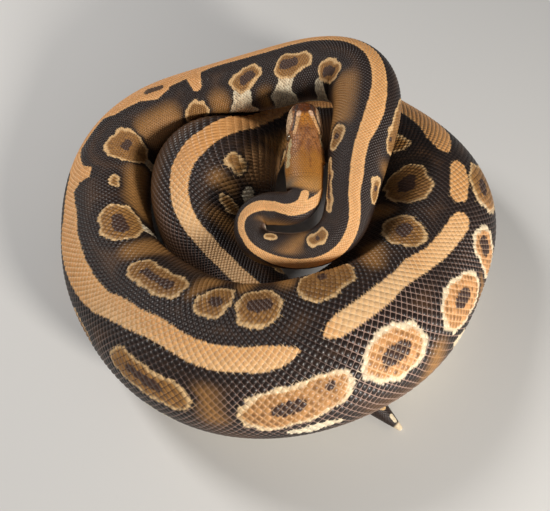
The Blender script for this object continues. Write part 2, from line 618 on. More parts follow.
# Cream patches without a ring, mostly where a spot runs down to the belly.
PATCHES = (
    ((29.9, -3.8, 0.5), (29.7, -5.4, 0.8)),
    ((32.6, -2.9, 0.5), (33.1, -3.9, 0.85), (33.2, -5.4, 0.9)),
    ((35.6, -2.7, 0.55), (36.1, -4.3, 0.85), (36.3, -5.6, 0.9)),
    ((46.2, -4.7, 0.7), (46.6, -5.8, 0.6)),
    ((55.4, -4.7, 0.42), (56.2, -5.7, 0.25)),
    ((69.7, 4.95, 0.30), (70.5, 5.15, 0.46), (71.2, 5.1, 0.28)),
    ((77.8, 5.8, 0.30), (78.4, 6.2, 0.48), (78.9, 6.6, 0.3)),
    ((23.0, 2.9, 0.7), (25.0, 3.3, 0.8)),
    ((112.0, -5.2, 0.5), (112.5, -5.4, 0.5)),
    ((130.62, -0.10, 0.15), (130.95, -0.06, 0.13)),
    ((64.2, 5.2, 0.3), (64.9, 5.5, 0.5), (65.4, 5.9, 0.35)),
    ((86.8, 6.4, 0.5), (87.6, 6.5, 0.5)),
)
# Olive and golden ground between the spots: chains with soft edges.
GLOWS = (
    ((23.6, -2.4, 1.1), (26.0, -2.5, 1.1)),
    ((21.0, 1.6, 0.35), (21.1, 2.6, 0.5)),
    ((37.3, -2.9, 0.8), (37.4, -4.6, 1.0)),
    ((34.2, -3.4, 0.5), (34.2, -5.2, 0.7)),
    ((41.0, -2.6, 1.0), (43.0, -2.8, 1.1)),
    ((48.6, -4.6, 1.1), (53.0, -5.2, 1.2)),
    ((57.9, -3.2, 0.9), (58.0, -4.8, 1.2)),
    ((64.8, -3.4, 0.6), (64.8, -4.8, 0.9)),
    ((67.5, -4.6, 0.6), (67.6, -5.5, 0.8)),
    ((70.8, -4.6, 0.7), (71.0, -5.6, 0.9)),
    ((76.6, -2.2, 0.8), (78.2, -3.0, 0.9)),
    ((82.4, -3.6, 0.6), (82.6, -4.6, 0.9)),
    ((66.9, 1.9, 0.4), (67.2, 3.4, 0.5)),
    ((76.4, 4.6, 0.6), (76.2, 6.0, 0.8)),
    ((81.2, 4.4, 0.5), (81.0, 6.0, 0.8)),
    ((104.2, -2.6, 0.7), (106.6, -3.4, 0.9)),
    ((111.6, -3.0, 0.5), (111.9, -3.8, 0.6)),
    ((113.8, -2.3, 0.55), (117.0, -2.2, 0.55)),
    ((8.0, -1.5, 0.5), (9.6, -1.6, 0.5)),
    ((11.8, 0.9, 0.5), (14.5, -1.9, 0.5)),
)
# Tan ground, paler than the glows.
TAN_GLOWS = (
    ((107.2, -5.0, 1.3), (109.4, -5.2, 1.6)),
    ((41.2, -3.2, 0.6), (43.0, -3.6, 0.7)),
    ((37.3, -4.6, 0.4), (37.6, -5.6, 0.5)),
)
# The depth given to places that are plainly outside a marking.
OUTSIDE = -99.0
# How uneven the outlines are, in cm: spots, their hearts, and patches.
SPOT_WANDER, CORE_WANDER, PATCH_WANDER = 0.22, 0.12, 0.35


def chain_depth(chain, s, x):
    """How deep a point is inside a chain of discs, in cm; negative outside."""
    if len(chain) == 1:
        return chain[0][2] - np.hypot(s - chain[0][0], x - chain[0][1])
    best = np.full(np.shape(s), OUTSIDE)
    for (s0, x0, r0), (s1, x1, r1) in zip(chain, chain[1:]):
        run = (s1 - s0) ** 2 + (x1 - x0) ** 2
        t = np.clip(((s - s0) * (s1 - s0) + (x - x0) * (x1 - x0)) / run, 0, 1)
        gap = np.hypot(s - s0 - t * (s1 - s0), x - x0 - t * (x1 - x0))
        best = np.maximum(best, r0 + t * (r1 - r0) - gap)
    return best


def depth_of_any(chains, s, x):
    return np.max([chain_depth(chain, s, x) for chain in chains], axis=0)


def wander(s, x, size, phase=0.0):
    """Slow, seamless variation between 0 and 1 over the body, sized in cm."""
    a, b = s / size, x / size
    total = np.sin(2.1 * a + 1.3 * b + phase) + np.sin(1.1 * a - 2.3 * b + 2 * phase)
    total += np.sin(3.7 * a + 2.9 * b + 1.7) * 0.6 + np.sin(-2.9 * a + 4.1 * b) * 0.5
    return np.clip(0.5 + total / 5, 0, 1)


def mix(a, b, share):
    return a + (b - a) * np.asarray(share)[..., None]


def stripe_depth(rows, s, x):
    """How deep a point is inside one length of the pale line, in cm."""
    at, low, high = np.array(rows).T
    left, right = np.interp(s, at, low), np.interp(s, at, high)
    inside = np.minimum(x - left, right - x)
    beyond = -np.hypot(
        np.maximum(np.maximum(at[0] - s, s - at[-1]), 0),
        np.maximum(np.abs(x - np.interp(s, at, (low + high) / 2)) - 0.3, 0),
    )
    return np.where((s > at[0]) & (s < at[-1]), inside, beyond)


def lay(tones, over, share, strength=(1, 1, 1)):
    """Heart, edge and skin colours with others laid over them."""
    return [mix(tone, top, share * part) for tone, top, part in zip(tones, over, strength)]


def body_paint(s, x, part):
    """Heart, edge and skin colours at arc x and distance s, both in cm.

    Last comes whether single scales there may be darker. part is the part of
    the arc from back to belly.
    """
    shape = np.shape(s) + (3,)

    def whole(colour):
        return np.broadcast_to(colour, shape)

    net = mix(whole(DARK_NET), TAUT_NET, tautness(s, x))
    tones = [whole(DARK), whole(DARK * 1.25), net]

    # Depths inside the markings; wandering makes the outlines uneven.
    stripe = np.max([stripe_depth(rows, s, x) for rows in STRIPES], axis=0)
    stripe = np.maximum(stripe, depth_of_any(KNOBS, s, x))
    stripe += OUTSIDE * (depth_of_any(KNOB_CORES, s, x) > 0)
    spot = depth_of_any([row[0] for row in SPOTS], s, x)
    spot += SPOT_WANDER * (wander(s, x, 0.42, 1.3) - 0.5)
    core = depth_of_any([chain for row in SPOTS for chain in row[1:] if chain], s, x)
    core += CORE_WANDER * (wander(s, x, 0.36, 5.1) - 0.5)
    patch = depth_of_any(PATCHES, s, x)
    patch += PATCH_WANDER * (wander(s, x, 0.55, 3.3) - 0.55) * smooth(128, 126, s)
    mark = np.maximum(np.maximum(stripe, spot), patch)

    # Ground: black beside the markings, brown farther off, gold in the glows.
    far = smooth(-0.35, -1.5, mark) * (0.30 + 0.5 * wander(s, x, 1.7))
    far *= smooth(4.5, 6.5, s)
    tones = lay(tones, (BROWN, BROWN * 1.2, MAUVE), far, (1, 1, 0.4))
    clear = smooth(-0.05, -0.4, mark)
    glow = smooth(-0.45, 0.75, depth_of_any(GLOWS, s, x)) * clear
    tones = lay(tones, (GOLD, GOLD * 1.25, GOLD * 1.3), glow, (0.8, 1, 1))
    glow = smooth(-0.7, 0.9, depth_of_any(TAN_GLOWS, s, x)) * clear
    tones = lay(tones, (TAN * 0.9, TAN * 1.1, TAN * 0.7), glow, (0.85, 1, 1))

    # The flank pales toward the belly, from higher up where it faces outward.
    low = np.abs(part) + 0.05 * (wander(s, x, 0.9, 2.0) - 0.5)
    outer = smooth(56, 66, s) * smooth(100, 92, s) * (x > 0)
    start = 0.74 - 0.24 * outer
    dusky = smooth(start - 0.06, start + 0.08, low)
    tones = lay(tones, (MAUVE, MAUVE * 1.3, MAUVE), dusky, (0.9, 0.9, 0))
    pale = smooth(start + 0.02, start + 0.22, low)
    heart, edge, net = lay(tones, (CREAM, CREAM, CREAM * 0.9), pale)

    inside = patch > 0
    tone = mix(RIM, CREAM, wander(s, x, 0.8, 4.0))
    heart[inside], edge[inside], net[inside] = tone[inside] * 0.86, tone[inside], RIM * 0.9

    # Spots: brighter toward the front right, where the scales are stretched.
    inside = spot > 0
    bright = np.maximum(smooth(77.0, 75.5, s), smooth(1.2, 2.2, x) * smooth(86, 84, s))
    bright = smooth(67.6, 68.6, s) * bright
    bright = bright * smooth(-0.8, 0.6, x) * (0.55 + 0.45 * smooth(71.2, 72.2, s))
    fill = mix(whole(FILL), BRIGHT_FILL, bright)
    fill_net = mix(whole(FILL_NET), BRIGHT_NET, bright)
    ring_tone = mix(whole(DULL_RIM), RIM, bright)
    rim = smooth(0.24 + 0.06 * bright, 0.12 + 0.08 * bright, spot)
    heart[inside] = mix(fill * 0.94, ring_tone * 0.96, rim)[inside]
    edge[inside] = mix(fill * 1.12, ring_tone * 1.05, rim)[inside]
    net[inside] = mix(fill_net, ring_tone, rim)[inside]
    dark = (core > 0) & inside
    heart[dark], edge[dark], net[dark] = CORE, CORE * 1.25, mix(net, MAUVE * 0.7, 0.8)[dark]

    # The line of the back: paler where stretched, plain beside the head.
    inside = stripe > 0
    border = smooth(0.25, 0.05, stripe)
    paler = 0.8 * tautness(s, x + 1.6)
    heart[inside] = mix(mix(whole(STRIPE_HEART), STRIPE, border), STRIPE_PALE, paler)[inside]
    edge[inside] = mix(mix(whole(STRIPE), STRIPE * 1.12, border), STRIPE_PALE, paler)[inside]
    beside = smooth(99.5, 101, s) * smooth(112, 110, s)
    net[inside] = mix(whole(STRIPE_NET), STRIPE_HEART, beside)[inside]

    # The neck's ground starts golden on the nape and the tail's tip is cream.
    nape = smooth(6.3, 5.9, s + 0.20 * np.abs(x + 0.4)) * (stripe <= 0)
    tone = mix(NAPE_TOP, NAPE_SIDE, smooth(0.7, 1.5, np.abs(x + 0.35)))
    tones = lay((heart, edge, net), (tone, tone * 1.1, tone * 0.55), nape)
    heart, edge, net = lay(tones, (RIM, RIM, RIM), smooth(131.1, 131.25, s))
    speckle = ((spot > 0.3) | ((patch > 0.15) & (s < 60))) & ~dark & ~(stripe > 0)
    return heart, edge, net, speckle


CARAMEL = lin(166, 106, 52)
HONEY = lin(176, 116, 44)
SNOUT = lin(98, 50, 14)
GOLDEN = lin(190, 122, 44)
BLUSH = lin(240, 196, 160)
CANTHAL = lin(230, 176, 118)
RUSSET = lin(118, 66, 32)
LIP = lin(224, 186, 144)
LIP_MARGIN = lin(234, 206, 168)
TEMPLE = lin(208, 184, 134)
LOREAL = lin(70, 54, 46)
CHIN = lin(238, 230, 210)
MOTTLE = lin(196, 138, 92)

# The head's markings lean a little to one side: distance back, shift in cm.
LEAN = ((0.0, 0.0), (1.0, -0.03), (2.2, -0.13), (3.5, -0.20), (5.0, -0.32))
# Chains of discs on the head: distance back, distance out, radius, in cm.
CANTHAL_LINE = (
    (0.86, 0.35, 0.13), (1.25, 0.46, 0.12), (1.5, 0.53, 0.11), (2.0, 0.68, 0.10), (2.35, 0.79, 0.09),
)
LOREAL_LINE = (
    (0.34, 0.44, 0.07), (0.8, 0.56, 0.05), (1.25, 0.64, 0.05), (1.6, 0.72, 0.05), (2.1, 0.88, 0.07),
)
BEHIND_EYE = ((2.80, 1.04, 0.07), (3.2, 1.13, 0.10), (3.8, 1.25, 0.10), (4.5, 1.33, 0.10))
# The pale mark on one cheek: distance back, distance to the side, radius.
CHEEK_MARK = ((2.72, -0.98, 0.07), (3.1, -1.06, 0.08))
CROWN_MARKS = (
    ((1.95, 0.10, 0.04), (2.3, 0.02, 0.09)),
    ((2.3, 0.05, 0.04), (2.75, 0.32, 0.04)),
    ((2.95, 0.04, 0.10), (3.25, 0.0, 0.08)),
    ((3.25, 0.0, 0.035), (4.7, 0.0, 0.03)),
    ((3.0, 0.45, 0.06), (3.6, 0.62, 0.05)),
)
# The dark band behind the eye: distance back, height, radius.
EYE_BAND = ((2.75, 0.16, 0.07), (3.6, 0.22, 0.06), (4.4, 0.15, 0.08), (5.6, 0.0, 0.14))
# The upper edge of the pale lips: distance back, height.
LIP_TOP = (
    (0.0, 0.02), (0.35, 0.22), (1.0, 0.42), (1.5, 0.50), (2.05, 0.44), (2.3, 0.14),
    (2.6, 0.04), (3.2, 0.14), (4.4, 0.08), (5.2, -0.2),
)


def head_paint(back, side, high):
    """Heart, edge and skin colours on the head; distances in cm."""
    out = np.abs(side - read_table(LEAN, back))
    shape = np.shape(back) + (3,)
    base = mix(np.broadcast_to(CARAMEL, shape), HONEY, smooth(2.9, 4.0, back))
    base = mix(base, GOLDEN, smooth(0.75, 1.1, back) * smooth(2.1, 1.5, back) * smooth(0.5, 0.2, out))
    brown = wander(back * 3, side * 3, 1.0, 0.6) * smooth(1.5, 2.2, back) * smooth(4.6, 3.4, back)
    base = mix(base, RUSSET, 0.55 * brown)
    light = wander(back * 4, side * 4, 1.0, 2.6) * smooth(1.9, 2.4, back) * smooth(3.8, 3.0, back)
    base = mix(base, MOTTLE, 0.5 * light)
    base = mix(base, SNOUT, smooth(0.98, 0.72, back + 0.30 * (out - 0.2)))
    marks = depth_of_any(CROWN_MARKS, back, out)
    marks += 0.10 * (wander(back, side, 0.22, 0.7) - 0.6)
    base = mix(base, RUSSET, 0.6 * smooth(-0.10, 0.05, marks) * (high > 0.2))
    # Pale lips, paler at the mouth.
    mouth = read_table(MOUTH, back)
    lip_top = read_table(LIP_TOP, back)
    lips = smooth(lip_top + 0.03, lip_top - 0.03, high)
    tone = mix(np.broadcast_to(LIP, shape), LIP_MARGIN, smooth(mouth + 0.26, mouth + 0.08, high))
    base = mix(base, tone, lips * smooth(5.2, 4.6, back))
    # Light line from the nostril over the eye, and on behind it.
    canthal = chain_depth(CANTHAL_LINE, back, out)
    tone = mix(np.broadcast_to(BLUSH, shape), CANTHAL, smooth(0.98, 1.3, back))
    base = mix(base, tone, smooth(-0.025, 0.02, canthal) * (high > 0.1))
    behind = chain_depth(BEHIND_EYE, back, out)
    behind += 0.10 * (wander(back, side, 0.25, 2.2) - 0.5)
    behind = np.maximum(behind, chain_depth(CHEEK_MARK, back, side))
    base = mix(base, TEMPLE, smooth(-0.03, 0.03, behind) * (high > 0.12))
    # Dark lines before and behind the eye, and the pale chin.
    loreal = chain_depth(LOREAL_LINE, back, out)
    base = mix(base, LOREAL, 0.9 * smooth(-0.03, 0.01, loreal) * (high > 0))
    band = smooth(-0.03, 0.03, chain_depth(EYE_BAND, back, high))
    base = mix(base, LOREAL, 0.9 * band * (out > 0.4) * smooth(5.9, 5.2, back))
    base = mix(base, CHIN, smooth(mouth - 0.12, mouth - 0.40, high))
    return base * 0.95, base * 1.12, base * 0.55


def blended_paint(surface, back, side, high):
    """Head colours running into the neck's; distances in cm."""
    tones = head_paint(back, side, high)
    share = smooth(4.9, 5.7, back)
    if np.all(share <= 0):
        return tones
    part = np.arctan2(side, high) / math.pi
    return lay(tones, body_paint(back, surface.arc_cm(back * CM, part), part), share)


# ------------------------------------------------------------ mesh building

def linked(name, points, groups, material):
    """A smooth mesh object from its points and groups of like-sided faces."""
    sizes = np.concatenate([np.full(len(faces), faces.shape[1]) for faces in groups])
    corners = np.concatenate([faces.ravel() for faces in groups]).astype(np.int32)
    starts = np.concatenate(([0], np.cumsum(sizes)[:-1])).astype(np.int32)
    mesh = bpy.data.meshes.new(name)
    mesh.vertices.add(len(points))
    mesh.vertices.foreach_set("co", np.asarray(points, np.float32).ravel())
    mesh.loops.add(len(corners))
    mesh.loops.foreach_set("vertex_index", corners)
    mesh.polygons.add(len(sizes))
    mesh.polygons.foreach_set("loop_start", starts)
    mesh.update(calc_edges=True)
    mesh.polygons.foreach_set("use_smooth", np.ones(len(sizes), bool))
    mesh.materials.append(material)
    obj = bpy.data.objects.new(name, mesh)
    bpy.context.scene.collection.objects.link(obj)
    return obj


def copies(pattern, count, size):
    """The faces of count like pieces, each with so many points of its own."""
    return (pattern[None] + np.arange(count)[:, None, None] * size).reshape(-1, pattern.shape[1])


def paint_points(obj, tone):
    layer = obj.data.color_attributes.new("tone", "FLOAT_COLOR", "POINT")
    rgba = np.ones((len(obj.data.vertices), 4), np.float32)
    rgba[:, :3] = np.clip(tone.reshape(-1, 3), 0, 1)
    layer.data.foreach_set("color", rgba.ravel())


def bake_map(obj, per_corner):
    """The map the export bakes on."""
    layer = obj.data.uv_layers.new(name="OFBake")
    layer.data.foreach_set("uv", np.asarray(per_corner, np.float32).ravel())


def bake_patches(obj, root, local):
    """A small patch for each scale, at its root's place on the unwrap."""
    per_point = MAP_MARGIN + (1 - 2 * MAP_MARGIN) * root + PATCH * local
    corners = np.empty(len(obj.data.loops), np.int32)
    obj.data.loops.foreach_get("vertex_index", corners)
    bake_map(obj, per_point.reshape(-1, 2)[corners])


def own(obj, slot, *nodes):
    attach(obj, "root")
    if nodes:
        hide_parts(*nodes)


# ------------------------------------------------------- the scale lattice

# Half the size of a scale's patch on the map, and the map's margin.
PATCH = 0.0015
MAP_MARGIN = 0.02
# Rows of scales on each side of the line of the back, by distance in cm.
ROWS = (
    (5.0, 26), (17.0, 31), (30.0, 35), (38.0, 38), (41.5, 40), (46.0, 38),
    (52.0, 34), (60.0, 36), (64.0, 39), (67.5, 42), (70.0, 40), (73.0, 36),
    (75.5, 36), (78.0, 39), (82.0, 42), (90.0, 42), (100.0, 36), (103.5, 24),
    (106.5, 24), (108.5, 31), (110.5, 38), (116.0, 40), (120.0, 30), (125.0, 22),
    (129.0, 14), (131.6, 9),
)
# Length of a scale against the spacing of the rows: shorter inside a bend.
LONG = (
    (5.0, 1.35), (40.0, 1.3), (46.0, 1.5), (52.0, 1.6), (63.0, 1.5), (66.0, 1.2),
    (67.5, 1.08), (69.5, 1.06), (71.0, 1.25), (73.0, 1.42), (78.0, 1.45),
    (82.0, 1.3), (90.0, 1.3), (100.0, 1.4), (103.5, 1.45), (106.5, 1.45),
    (108.5, 1.4), (110.5, 1.3), (113.0, 1.25), (131.0, 1.35),
)
# Part of the arc from back to belly that the scales cover; plates do the rest.
FLANK = 0.84
# Spacing of the rows at the line of the back against the mean spacing.
TIGHT = 0.84
# The lattice starts here, in cm; its columns are counted from a little before.
LATTICE_FROM = 5.6
COLUMNS_FROM, COLUMN_STEP = 4.6, 0.05
MOST_ROWS = 44


class Lattice:
    """Rows and columns of scales, sized by the girth."""

    def __init__(self, surface):
        self.surface = surface
        s = surface.s / CM
        half = (surface.half_right + surface.half_left) / 2 / CM
        self.grid = np.arange(COLUMNS_FROM, s[-1], COLUMN_STEP)
        half = np.interp(self.grid, s, half)
        for _ in range(6):
            half[1:-1] = (half[:-2] + 2 * half[1:-1] + half[2:]) / 4
        self.rows = read_table(ROWS, self.grid) + 0.5
        length = read_table(LONG, self.grid) * (FLANK / self.rows * half)
        self.u = np.concatenate(([0], np.cumsum(COLUMN_STEP / length[:-1])))

    def distance(self, u):
        return np.interp(u, self.u, self.grid)

    def part_of(self, s, rows):
        """Part of the arc from back to belly for a row number."""
        share = rows / np.interp(s, self.grid, self.rows)
        return FLANK * share * (TIGHT + (1 - TIGHT) * np.abs(share))

    def centres(self):
        """Column number and row number of every scale on the body."""
        columns = np.arange(1, int(self.u[-1]) - 1)
        found_u, found_j = [], []
        for j in range(-MOST_ROWS, MOST_ROWS + 1):
            u = columns + (0.5 if j % 2 else 0.0)
            u = u[abs(j) <= np.interp(self.distance(u), self.grid, self.rows) - 0.3]
            found_u.append(u)
            found_j.append(np.full(len(u), j))
        return np.concatenate(found_u), np.concatenate(found_j)

    def locate(self, u, rows):
        """Ring number, ring place, distance and part of the arc."""
        s = self.distance(u)
        part = np.clip(self.part_of(s, rows), -1, 1)
        row, k = self.surface.place_of(s * CM, part)
        return row, k, s, part


# Depth of the coat over the skin: distance along the body and depth, in cm.
COAT = (
    (0, 0.018), (5.0, 0.016), (17, 0.02), (30, 0.032), (45, 0.042), (100, 0.044),
    (112, 0.042), (124, 0.028), (130, 0.010),
)


def over_skin(surface, row, k, s, height):
    """Points at parts of the coat's depth; height 1 is the solids' surface."""
    points = surface.sample(surface.points, row, k)
    normals = unit(surface.sample(surface.normals, row, k))
    return points + ((height - 1) * (read_table(COAT, s) * CM))[..., None] * normals


# Where the skin is stretched between its scales, outside the bends: how much,
# the distances over which it starts and ends, and the arc over which it rises.
STRETCHES = (
    (1.0, (71.2, 72.6), (80, 76), (-1.6, 0.4)),
    (0.8, (56, 62), (86, 81), (0.6, 2.6)),
    (0.9, (111.5, 114), (120.5, 118), (0.0, 1.0)),
)


def tautness(s, x):
    """How stretched the skin is, from 0 to 1."""
    found = [
        much * (smooth(*start, s) * smooth(*end, s) * smooth(*across, x))
        for much, start, end, across in STRETCHES
    ]
    return np.max(found, axis=0)


# How much of its cell a scale covers, and how much less where it is stretched.
COVER, COVER_LESS = 0.98, 0.04
# A scale's rings: share of its outline, height, and share of the edge colour.
SCALE_RINGS = ((0.66, 0.86, 0.40), (1.00, -0.20, 1.0))
# Its outline: along the body (toward the tail is +) and across it.
SCALE_OUTLINE = (
    (0.96, 0.00), (0.52, 0.52), (0.00, 0.93), (-0.52, 0.52),
    (-0.92, 0.00), (-0.52, -0.52), (0.00, -0.93), (0.52, -0.52),
)
# How much higher its rear end stands.
TILT = 0.30
# How far toward its outline the markings are read.
PAINT_REACH = 0.70
# Share of the scales in a spot that are darker, how much, and their variation.
DARKER, DARKER_BY, DARKER_RANGE = 0.62, 0.45, 0.5
VARIATION = 0.16
# Scales with more than this of them pressed in are hidden and left out.
HIDDEN = 0.97


def fan_faces(around, rings):
    """Triangles of one scale: a fan in the middle, then bands outward."""
    faces = [(0, 1 + k, 1 + (k + 1) % around) for k in range(around)]
    for r in range(rings - 1):
        for k in range(around):
            a = 1 + r * around + k
            b = 1 + r * around + (k + 1) % around
            faces.append((a, a + around, b + around))
            faces.append((a, b + around, b))
    return np.array(faces)


def build_body_scales(surface, lattice, material):
    """The scales of neck, trunk and tail, one piece for each solid length."""
    rng = np.random.default_rng(SEED)
    u, j = lattice.centres()
    row, k, s, part = lattice.locate(u, j)
    keep = s >= LATTICE_FROM
    u, j, row, k, s, part = (v[keep] for v in (u, j, row, k, s, part))
    shut = surface.sample(surface.shut, row, k)[:, 0]
    cover = COVER - COVER_LESS * tautness(s, surface.arc_cm(s * CM, part))
    count = len(s)
    # The markings are read in the middle of each scale and around it, drawn
    # in a little, so that their edges cross the scales.
    sides = np.array(((0.0, 0.0),) + SCALE_OUTLINE) * PAINT_REACH
    _, _, side_s, side_part = lattice.locate(
        u[:, None] + 0.5 * cover[:, None] * sides[:, 0], j[:, None] + cover[:, None] * sides[:, 1]
    )
    side_x = surface.arc_cm(side_s * CM, side_part)
    heart, edge, _, speckle = body_paint(side_s, side_x, side_part)
    darker = (rng.random((count, 1)) < DARKER) & speckle
    share = np.broadcast_to(DARKER_BY + DARKER_RANGE * rng.random((count, 1)), darker.shape)
    heart = np.where(darker[..., None], mix(heart, FILL_HEART, share), heart)
    vary = 1 + VARIATION * (rng.random((count, 1, 1)) - 0.5)
    heart, edge = heart * vary, edge * vary

    local = [(0.0, 0.0, 1.0, 0.0)]
    for ring_share, height, tint in SCALE_RINGS:
        for a, b in SCALE_OUTLINE:
            local.append((a * ring_share, b * ring_share, height + TILT * a * ring_share, tint))
    alpha, beta, rise, rim = np.array(local).T
    at_u = u[:, None] + 0.5 * cover[:, None] * alpha
    at_j = j[:, None] + cover[:, None] * beta
    at_row, at_k, at_s, _ = lattice.locate(at_u, at_j)
    points = over_skin(surface, at_row, at_k, at_s, rise)
    around = np.arange(len(SCALE_OUTLINE)) + 1
    from_side = np.concatenate(((0,),) + (around,) * len(SCALE_RINGS))
    whole_rim = np.broadcast_to(rim, (count, len(rim)))
    tone = mix(heart[:, from_side], edge[:, from_side], whole_rim)

    pattern = fan_faces(len(SCALE_OUTLINE), len(SCALE_RINGS))
    for name, first, last in solid_lengths(surface.body):
        inside = np.flatnonzero((s >= first) & (s < last) & (shut < HIDDEN))
        faces = copies(pattern, len(inside), len(alpha))
        obj = linked(name + "_scales", points[inside].reshape(-1, 3), [faces], material)
        paint_points(obj, tone[inside])
        root = np.stack(((s[inside] - first) / (last - first), (part[inside] + 1) / 2), 1)
        bake_patches(obj, root[:, None, :], np.stack((alpha, beta), 1)[None])
        own(obj, "body_skin")


# Where each of the solids' lengths ends, after the head.
LENGTH_ENDS = (
    ("neck", "low_c"), ("trunk_1", "rise_e"), ("trunk_2", "top_e"), ("trunk_3", "left_d"),
    ("trunk_4", "bottom_c"), ("trunk_5", "right_b"), ("trunk_6", "under_b"),
    ("trunk_7", "inner_d"), ("trunk_8", "vent"), ("tail", "tip"),
)


def solid_lengths(body):
    """The solids' lengths by name, with both ends as distances in cm."""
    found = []
    first = LATTICE_FROM
    for name, station in LENGTH_ENDS:
        last = body.station[station] / CM
        found.append((name, first, last + (name == "tail")))
        first = last
    return found


# A belly plate's points: along it in lattice columns, and their heights.
PLATE_ALONG = np.array((-1.0, -0.84, 0.2, 0.88, 1.04))
PLATE_RISE = np.array((-0.3, 0.45, 0.85, 1.0, -0.2))
PLATE_ACROSS = 15
PLATE_OVERLAP = 0.006
# The plates' reach along the body, in cm, and the share of specks on them.
PLATES_FROM, PLATES_TO = 5.0, 131.2
FLECKS = 0.06


def build_belly(surface, lattice, material):
    """Broad plates across the belly, one for each second column of scales."""
    rng = np.random.default_rng(SEED + 1)
    columns = np.arange(2, int(lattice.u[-1]) - 6, 2)
    across = np.linspace(-1, 1, PLATE_ACROSS)
    u = columns[:, None, None] + PLATE_ALONG[None, :, None]
    u = np.broadcast_to(u, (len(columns), len(PLATE_ALONG), PLATE_ACROSS))
    s = lattice.distance(u)
    keep = (s[:, 0, 0] >= PLATES_FROM) & (s[:, -1, 0] < PLATES_TO)
    s = s[keep]
    reach = (1 - FLANK + PLATE_OVERLAP) * across
    part = np.broadcast_to(np.where(reach <= 0, 1 + reach, -1 + reach), s.shape)
    row, k = surface.place_of(s * CM, part)
    height = np.broadcast_to(PLATE_RISE[None, :, None], s.shape).copy()
    height[:, :, 0] = height[:, :, -1] = PLATE_RISE[0]
    points = over_skin(surface, row, k, s, height)
    count, size = len(s), len(PLATE_ALONG) * PLATE_ACROSS
    step = np.array((0, 1, PLATE_ACROSS + 1, PLATE_ACROSS))
    corner = np.arange(size).reshape(-1, PLATE_ACROSS)[:-1, :-1].reshape(-1, 1)
    obj = linked("belly_plates", points.reshape(-1, 3), [copies(corner + step, count, size)], material)
    tone = np.broadcast_to(CREAM, (count, size, 3)) * (1 + 0.10 * (rng.random((count, 1, 1)) - 0.5))
    fleck = rng.random((count, size)) < FLECKS
    paint_points(obj, np.where(fleck[..., None], MAUVE, tone))
    root = np.stack((s[:, 0, 0] / 132.0, np.full(count, 0.5)), 1)
    local = np.stack(np.meshgrid(across, np.linspace(-1, 1, len(PLATE_ALONG))), -1)
    bake_patches(obj, root[:, None, :], local.reshape(-1, 2) * (0.8, 60))
    own(obj, "body_skin")


# ---------------------------------------------------------------- the head

# How far back, in cm, the head's cells look for the surface, and their map's
# length.
HEAD_LOOK, HEAD_MAP = 6.8, 5.8
# How far toward a cell's outline the markings are read.
HEAD_PAINT_REACH = 0.9
# Size of the small scales by distance back, in cm.
CELL_SIZES = (
    (0.5, 0.20), (1.2, 0.20), (2.0, 0.185), (3.0, 0.165), (4.2, 0.15), (5.3, 0.14),
)
# Shields of the snout: distance back, out, size in cm, and kind.
SNOUT_SHIELDS = (
    (0.24, 0.15, 0.26, "plate"), (0.30, 0.44, 0.20, "nostril"),
    (0.58, 0.19, 0.34, "plate"), (0.62, 0.52, 0.24, "plain"),
    (0.98, 0.18, 0.32, "plate"), (0.98, 0.47, 0.22, "plain"),
    (1.34, 0.13, 0.26, "plate"), (1.40, 0.40, 0.22, "plain"),
)
# Lip scales of one side: first distance back, pitch, count, height over the
# mouth line, size in cm, and which of them have a heat pit.
LIP_ROWS = (
    (0.20, 0.345, 10, 0.165, 0.30, (0, 1, 2, 3)),
    (0.30, 0.33, 11, -0.155, 0.27, (6, 7, 8)),
)
# Radius of the ring of scales around the eye, their number, their size and
# the greatest height of one.
ORBIT, ORBIT_SCALES, ORBIT_SIZE, ORBIT_TOP = 0.335, 10, 0.17, 0.69
# The ring stops short of the eye's middle by this much.
EYE_EDGE = 0.235
# The neck's first scales are the lattice's own: distances and size, in cm.
SEAM_FROM, SEAM_TO, SEAM_SIZE = 5.15, 6.25, 0.13
# Small scales: where their lines start, in cm, and in sizes the pitch of the
# lines, how far they stray, and how far they keep from the eye's ring.
SMALL_FROM, SMALL_PITCH, SMALL_STRAY, SMALL_CLEAR = 0.42, 0.84, 0.16, 0.42
# They keep this far from the mouth, in cm, back to this distance.
LIP_CLEAR, LIP_BACK = 0.32, 3.75
# How near two sites may stand, in shares of their mean size.
LIP_ROOM, SNOUT_ROOM, ORBIT_ROOM, SEAM_ROOM, SMALL_ROOM = 0.8, 0.55, 0.5, 0.3, 0.76
# A cell's corners, its greatest reach and the gap around it, in sizes.
CELL_CORNERS, CELL_REACH, CELL_GAP = 14, 0.75, 0.04
# Sites nearer than this, in cm, bound a cell; so does an eye nearer than that.
NEAR_SITE, NEAR_EYE = 0.55, 0.7
# A cell's rings: share of its outline, height, and share of the edge colour.
CELL_RINGS = ((0.45, 0.97, 0.1), (0.80, 0.74, 0.6), (0.94, 0.36, 0.9), (1.0, -0.25, 1.0))
# Height of a cell, for one of the usual size, in cm.
CELL_HEIGHT, USUAL_SIZE = 0.018, 0.18
# Depth of the pits' middles, in heights.
PITS = {"nostril": -3.2, "pit": -1.8}


def point_tree(points):
    tree = KDTree(len(points))
    for n, point in enumerate(points):
        tree.insert(point, n)
    tree.balance()
    return tree


def limit_reach(reach, rays, flat, limit):
    """Cut a cell's reach back to a line across the way to a neighbour."""
    facing = rays @ (flat / np.linalg.norm(flat))
    return np.minimum(reach, np.where(facing > 0.05, limit / np.maximum(facing, 0.05), 9))


